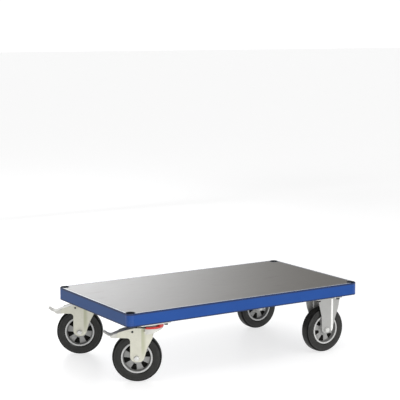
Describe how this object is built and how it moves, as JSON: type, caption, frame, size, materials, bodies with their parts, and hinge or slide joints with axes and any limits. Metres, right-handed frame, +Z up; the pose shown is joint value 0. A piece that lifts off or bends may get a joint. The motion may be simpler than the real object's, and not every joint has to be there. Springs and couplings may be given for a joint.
{
  "type": "platform cart",
  "caption": "Flat platform cart: blue steel frame with flush deck and corner sockets, on braked swivel casters at one end and fixed casters at the other.",
  "frame": {"origin": "centre of the deck's top face", "axes": "+X along the deck towards the fixed casters, +Y across it to the back side, +Z up; the tyres stand at z = -0.300"},
  "size_m": [1.1887, 0.6814, 0.3016],
  "materials": {
    "deck_laminate": "smooth grey laminate",
    "blue_powder_coat": "semi-gloss powder coat",
    "black_plastic": "moulded",
    "zinc_steel": "zinc plated",
    "zinc_cream": "zinc plated, slightly yellow",
    "dark_steel": "black oxide",
    "tyre_rubber": "matt solid rubber",
    "grey_rim": "moulded",
    "brake_lining": "matt",
    "red_plastic": "glossy"
  },
  "bodies": {
    "platform": {"deck_board": "deck_laminate", "front_rail": "blue_powder_coat", "back_rail": "blue_powder_coat", "front_ledge": "blue_powder_coat", "back_ledge": "blue_powder_coat", "left_rail": "blue_powder_coat", "right_rail": "blue_powder_coat", "swivel_bearer": "blue_powder_coat", "fixed_bearer": "blue_powder_coat", "middle_bearer": "blue_powder_coat", "corner_tube_front_left": "blue_powder_coat", "corner_tube_front_right": "blue_powder_coat", "corner_tube_back_left": "blue_powder_coat", "corner_tube_back_right": "blue_powder_coat", "corner_cap_front_left": "black_plastic", "corner_cap_front_right": "black_plastic", "corner_cap_back_left": "black_plastic", "corner_cap_back_right": "black_plastic", "fixed_fork_front": "zinc_steel", "fixed_fork_back": "zinc_steel", "axle_bolt_fixed_front": "zinc_steel", "axle_nut_fixed_front": "zinc_steel", "axle_bolt_fixed_back": "zinc_steel", "axle_nut_fixed_back": "zinc_steel", "swivel_plate_front": "zinc_steel", "kingpin_front": "dark_steel", "swivel_plate_back": "zinc_steel", "kingpin_back": "dark_steel"},
    "wheel_fixed_front": {"tyre_fixed_front": "tyre_rubber", "rim_fixed_front": "grey_rim", "hub_bush_fixed_front": "dark_steel"},
    "wheel_fixed_back": {"tyre_fixed_back": "tyre_rubber", "rim_fixed_back": "grey_rim", "hub_bush_fixed_back": "dark_steel"},
    "wheel_swivel_front": {"tyre_swivel_front": "tyre_rubber", "rim_swivel_front": "grey_rim", "hub_bush_swivel_front": "dark_steel"},
    "wheel_swivel_back": {"tyre_swivel_back": "tyre_rubber", "rim_swivel_back": "grey_rim", "hub_bush_swivel_back": "dark_steel"},
    "swivel_front": {"swivel_fork_front": "zinc_cream", "ball_ring_front": "dark_steel", "axle_bolt_swivel_front": "zinc_steel", "axle_nut_swivel_front": "zinc_steel", "brake_pin_front": "dark_steel", "release_pin_front": "zinc_cream"},
    "brake_front": {"brake_pedal_front": "zinc_steel", "brake_shoe_front": "brake_lining"},
    "release_front": {"release_lever_front": "zinc_steel", "release_pedal_front": "red_plastic"},
    "swivel_back": {"swivel_fork_back": "zinc_cream", "ball_ring_back": "dark_steel", "axle_bolt_swivel_back": "zinc_steel", "axle_nut_swivel_back": "zinc_steel", "brake_pin_back": "dark_steel", "release_pin_back": "zinc_cream"},
    "brake_back": {"brake_pedal_back": "zinc_steel", "brake_shoe_back": "brake_lining"},
    "release_back": {"release_lever_back": "zinc_steel", "release_pedal_back": "red_plastic"}
  },
  "joints": [
    {"name": "swivel_turn_front", "type": "hinge", "parent": "platform", "child": "swivel_front", "pos_m": [-0.445, -0.252, -0.07], "axis": [0, 0, 1], "continuous": true},
    {"name": "wheel_spin_swivel_front", "type": "hinge", "parent": "swivel_front", "child": "wheel_swivel_front", "pos_m": [-0.48861, -0.22368, -0.2], "axis": [0.5446, 0.8387, 0], "continuous": true},
    {"name": "brake_lift_front", "type": "hinge", "parent": "swivel_front", "child": "brake_front", "pos_m": [-0.50245, -0.21469, -0.092], "axis": [0.5446, 0.8387, 0], "range_deg": [0, 10]},
    {"name": "release_press_front", "type": "hinge", "parent": "swivel_front", "child": "release_front", "pos_m": [-0.4601, -0.2422, -0.089], "axis": [0.5446, 0.8387, 0], "range_deg": [0, 8.1]},
    {"name": "wheel_spin_fixed_front", "type": "hinge", "parent": "platform", "child": "wheel_fixed_front", "pos_m": [0.428, -0.253, -0.2], "axis": [0, 1, 0], "continuous": true},
    {"name": "swivel_turn_back", "type": "hinge", "parent": "platform", "child": "swivel_back", "pos_m": [-0.445, 0.252, -0.07], "axis": [0, 0, 1], "continuous": true},
    {"name": "wheel_spin_swivel_back", "type": "hinge", "parent": "swivel_back", "child": "wheel_swivel_back", "pos_m": [-0.48861, 0.28032, -0.2], "axis": [0.5446, 0.8387, 0], "continuous": true},
    {"name": "brake_lift_back", "type": "hinge", "parent": "swivel_back", "child": "brake_back", "pos_m": [-0.50245, 0.28931, -0.092], "axis": [0.5446, 0.8387, 0], "range_deg": [0, 10]},
    {"name": "release_press_back", "type": "hinge", "parent": "swivel_back", "child": "release_back", "pos_m": [-0.4601, 0.2618, -0.089], "axis": [0.5446, 0.8387, 0], "range_deg": [0, 8.1]},
    {"name": "wheel_spin_fixed_back", "type": "hinge", "parent": "platform", "child": "wheel_fixed_back", "pos_m": [0.428, 0.253, -0.2], "axis": [0, 1, 0], "continuous": true}
  ],
  "couplings": [
    {"joint": "release_press_front", "follows": "brake_lift_front", "ratio": 0.8},
    {"joint": "release_press_back", "follows": "brake_lift_back", "ratio": 0.8}
  ]
}
